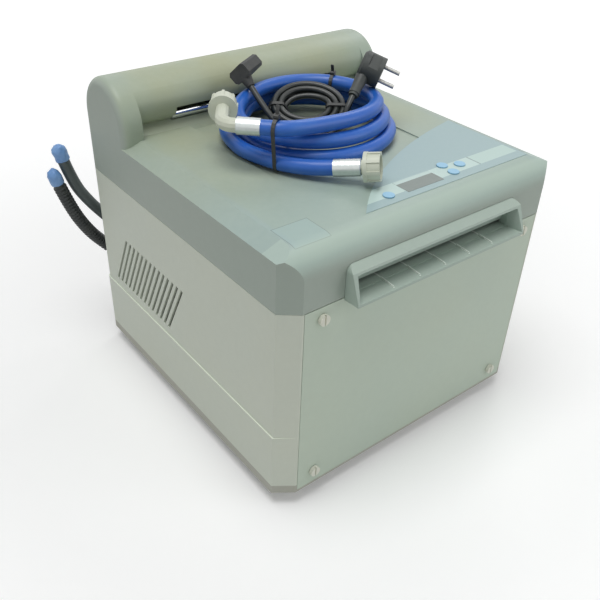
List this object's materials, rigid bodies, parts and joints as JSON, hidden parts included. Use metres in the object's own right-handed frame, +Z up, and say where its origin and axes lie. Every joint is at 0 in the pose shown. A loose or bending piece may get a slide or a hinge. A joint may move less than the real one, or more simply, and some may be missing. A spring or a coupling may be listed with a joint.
{
  "type": "dental x-ray film processor",
  "caption": "Table-top automatic film processor: roller racks in three tanks, dryer, hinged cover with feed tray, keys and film exit, hose and mains lead on top",
  "frame": {"origin": "On the table, midway between the feet: bottom centre of the machine's bounding box without its loose hoses and lead", "axes": "+X to the machine's right, +Y from the feed side to the rear, +Z up"},
  "size_m": [0.4296, 0.4685, 0.4077],
  "materials": {
    "beige_plastic": "light beige-grey moulded plastic, fine texture",
    "cover_plastic": "warm grey moulded plastic, yellowed to the rear",
    "light_grey_plastic": "light grey moulded plastic",
    "grey_plastic": "grey moulded plastic",
    "white_plastic": "white moulded plastic",
    "black_plastic": "black moulded plastic",
    "cream_plastic": "cream moulded plastic",
    "roller_plastic": "light rollers and gears",
    "foil_plastic": "blue-grey printed foil",
    "display_dark": "dark display window",
    "board_green": "circuit board",
    "key_blue": "light blue keys",
    "beige_fastener": "beige quarter-turn fastener",
    "black_rubber": "black rubber",
    "blue_hose": "smooth blue hose",
    "blue_cap": "soft blue cap",
    "bright_aluminium": "bright crimped sleeve",
    "chrome": "polished",
    "steel": "plain sheet steel",
    "dark_steel": "dark steel",
    "grey_steel": "grey painted sheet"
  },
  "bodies": {
    "chassis": {"base_tray": "grey_plastic", "rubber_feet": "black_rubber", "left_side_panel": "beige_plastic", "right_side_panel": "beige_plastic", "front_panel": "beige_plastic", "rear_panel": "grey_steel", "hinge_pins": "steel", "feed_tray": "light_grey_plastic", "tank_block": "grey_plastic", "drive_plate": "steel", "drive_motor": "dark_steel", "dryer_frame": "steel", "dryer_heater": "dark_steel", "blower_housing": "black_plastic", "water_valve": "white_plastic", "circulation_pump": "black_plastic", "mains_inlet": "black_plastic", "drain_hose_upper": "black_rubber", "drain_hose_lower": "black_rubber", "drain_hose_caps": "blue_cap", "developer_rack": "grey_plastic", "fixer_rack": "grey_plastic", "wash_rack": "grey_plastic"},
    "cover": {"top_cover": "cover_plastic", "control_foil": "foil_plastic", "display_window": "display_dark", "control_board": "board_green", "inlet_hose": "blue_hose", "hose_ferrules": "bright_aluminium", "hose_fittings": "cream_plastic", "cable_ties": "black_plastic", "lead_hank": "black_rubber", "lead_tail_plug": "black_rubber", "lead_tail_connector": "black_rubber", "mains_plug": "black_rubber", "mains_connector": "black_rubber"},
    "key_start": {"key_start": "key_blue"},
    "key_up": {"key_up": "key_blue"},
    "key_down": {"key_down": "key_blue"},
    "key_stop": {"key_stop": "key_blue"},
    "exit_roller": {"exit_roller": "chrome"},
    "fastener_low_left": {"fastener_low_left": "beige_fastener"},
    "fastener_low_right": {"fastener_low_right": "beige_fastener"},
    "fastener_high_left": {"fastener_high_left": "beige_fastener"},
    "fastener_high_right": {"fastener_high_right": "beige_fastener"},
    "developer_drive_roller": {"developer_drive_roller": "roller_plastic"},
    "developer_entry_roller": {"developer_entry_roller": "roller_plastic"},
    "developer_exit_roller": {"developer_exit_roller": "roller_plastic"},
    "fixer_drive_roller": {"fixer_drive_roller": "roller_plastic"},
    "fixer_entry_roller": {"fixer_entry_roller": "roller_plastic"},
    "fixer_exit_roller": {"fixer_exit_roller": "roller_plastic"},
    "wash_drive_roller": {"wash_drive_roller": "roller_plastic"},
    "wash_entry_roller": {"wash_entry_roller": "roller_plastic"},
    "wash_exit_roller": {"wash_exit_roller": "roller_plastic"},
    "idler_gear_1": {"idler_gear_1": "white_plastic"},
    "idler_gear_2": {"idler_gear_2": "white_plastic"},
    "idler_gear_3": {"idler_gear_3": "white_plastic"},
    "dryer_roller": {"dryer_roller": "roller_plastic"},
    "motor_pinion": {"motor_pinion": "white_plastic"},
    "blower_impeller": {"blower_impeller": "black_plastic"}
  },
  "joints": [
    {"name": "cover_hinge", "type": "hinge", "parent": "chassis", "child": "cover", "pos_m": [0, 0.2025, 0.266], "axis": [-1, 0, 0], "range_deg": [0, 75]},
    {"name": "key_start_press", "type": "slide", "parent": "cover", "child": "key_start", "axis": [0, 0, -1], "range_m": [0, 0.0004], "stiffness_N_per_m": 250, "springref_m": -0.0006},
    {"name": "key_up_press", "type": "slide", "parent": "cover", "child": "key_up", "axis": [0, 0, -1], "range_m": [0, 0.0004], "stiffness_N_per_m": 250, "springref_m": -0.0006},
    {"name": "key_down_press", "type": "slide", "parent": "cover", "child": "key_down", "axis": [0, 0, -1], "range_m": [0, 0.0004], "stiffness_N_per_m": 250, "springref_m": -0.0006},
    {"name": "key_stop_press", "type": "slide", "parent": "cover", "child": "key_stop", "axis": [0, 0, -1], "range_m": [0, 0.0004], "stiffness_N_per_m": 250, "springref_m": -0.0006},
    {"name": "exit_roller_turn", "type": "hinge", "parent": "cover", "child": "exit_roller", "pos_m": [0, 0.122, 0.3355], "axis": [1, 0, 0], "continuous": true},
    {"name": "fastener_low_left_turn", "type": "hinge", "parent": "chassis", "child": "fastener_low_left", "pos_m": [-0.146, -0.197, 0.04], "axis": [0, -1, 0], "range_deg": [0, 90]},
    {"name": "fastener_low_right_turn", "type": "hinge", "parent": "chassis", "child": "fastener_low_right", "pos_m": [0.146, -0.197, 0.04], "axis": [0, -1, 0], "range_deg": [0, 90]},
    {"name": "fastener_high_left_turn", "type": "hinge", "parent": "chassis", "child": "fastener_high_left", "pos_m": [-0.146, -0.197, 0.246], "axis": [0, -1, 0], "range_deg": [0, 90]},
    {"name": "fastener_high_right_turn", "type": "hinge", "parent": "chassis", "child": "fastener_high_right", "pos_m": [0.146, -0.197, 0.246], "axis": [0, -1, 0], "range_deg": [0, 90]},
    {"name": "developer_drive_roller_turn", "type": "hinge", "parent": "chassis", "child": "developer_drive_roller", "pos_m": [0, -0.105, 0.25], "axis": [1, 0, 0], "continuous": true},
    {"name": "developer_entry_roller_turn", "type": "hinge", "parent": "chassis", "child": "developer_entry_roller", "pos_m": [0, -0.12225, 0.25], "axis": [1, 0, 0], "continuous": true},
    {"name": "developer_exit_roller_turn", "type": "hinge", "parent": "chassis", "child": "developer_exit_roller", "pos_m": [0, -0.08775, 0.25], "axis": [1, 0, 0], "continuous": true},
    {"name": "fixer_drive_roller_turn", "type": "hinge", "parent": "chassis", "child": "fixer_drive_roller", "pos_m": [0, -0.035, 0.25], "axis": [1, 0, 0], "continuous": true},
    {"name": "fixer_entry_roller_turn", "type": "hinge", "parent": "chassis", "child": "fixer_entry_roller", "pos_m": [0, -0.05225, 0.25], "axis": [1, 0, 0], "continuous": true},
    {"name": "fixer_exit_roller_turn", "type": "hinge", "parent": "chassis", "child": "fixer_exit_roller", "pos_m": [0, -0.01775, 0.25], "axis": [1, 0, 0], "continuous": true},
    {"name": "wash_drive_roller_turn", "type": "hinge", "parent": "chassis", "child": "wash_drive_roller", "pos_m": [0, 0.035, 0.25], "axis": [1, 0, 0], "continuous": true},
    {"name": "wash_entry_roller_turn", "type": "hinge", "parent": "chassis", "child": "wash_entry_roller", "pos_m": [0, 0.01775, 0.25], "axis": [1, 0, 0], "continuous": true},
    {"name": "wash_exit_roller_turn", "type": "hinge", "parent": "chassis", "child": "wash_exit_roller", "pos_m": [0, 0.05225, 0.25], "axis": [1, 0, 0], "continuous": true},
    {"name": "idler_gear_1_turn", "type": "hinge", "parent": "chassis", "child": "idler_gear_1", "pos_m": [0.152, -0.07, 0.25], "axis": [1, 0, 0], "continuous": true},
    {"name": "idler_gear_2_turn", "type": "hinge", "parent": "chassis", "child": "idler_gear_2", "pos_m": [0.152, 0, 0.25], "axis": [1, 0, 0], "continuous": true},
    {"name": "idler_gear_3_turn", "type": "hinge", "parent": "chassis", "child": "idler_gear_3", "pos_m": [0.152, 0.07, 0.25], "axis": [1, 0, 0], "continuous": true},
    {"name": "dryer_roller_turn", "type": "hinge", "parent": "chassis", "child": "dryer_roller", "pos_m": [0, 0.105, 0.25], "axis": [1, 0, 0], "continuous": true},
    {"name": "motor_pinion_turn", "type": "hinge", "parent": "chassis", "child": "motor_pinion", "pos_m": [0.152, 0, 0.22125], "axis": [1, 0, 0], "continuous": true},
    {"name": "blower_impeller_turn", "type": "hinge", "parent": "chassis", "child": "blower_impeller", "pos_m": [0, 0.15, 0.212], "axis": [1, 0, 0], "continuous": true}
  ],
  "couplings": [
    {"joint": "developer_entry_roller_turn", "follows": "developer_drive_roller_turn", "ratio": -1.5556},
    {"joint": "developer_exit_roller_turn", "follows": "developer_drive_roller_turn", "ratio": -1.5556},
    {"joint": "fixer_drive_roller_turn", "follows": "developer_drive_roller_turn", "ratio": 1},
    {"joint": "fixer_entry_roller_turn", "follows": "developer_drive_roller_turn", "ratio": -1.5556},
    {"joint": "fixer_exit_roller_turn", "follows": "developer_drive_roller_turn", "ratio": -1.5556},
    {"joint": "wash_drive_roller_turn", "follows": "developer_drive_roller_turn", "ratio": 1},
    {"joint": "wash_entry_roller_turn", "follows": "developer_drive_roller_turn", "ratio": -1.5556},
    {"joint": "wash_exit_roller_turn", "follows": "developer_drive_roller_turn", "ratio": -1.5556},
    {"joint": "idler_gear_1_turn", "follows": "developer_drive_roller_turn", "ratio": -1},
    {"joint": "idler_gear_2_turn", "follows": "developer_drive_roller_turn", "ratio": -1},
    {"joint": "idler_gear_3_turn", "follows": "developer_drive_roller_turn", "ratio": -1},
    {"joint": "dryer_roller_turn", "follows": "developer_drive_roller_turn", "ratio": 1},
    {"joint": "motor_pinion_turn", "follows": "developer_drive_roller_turn", "ratio": 1.5556}
  ]
}
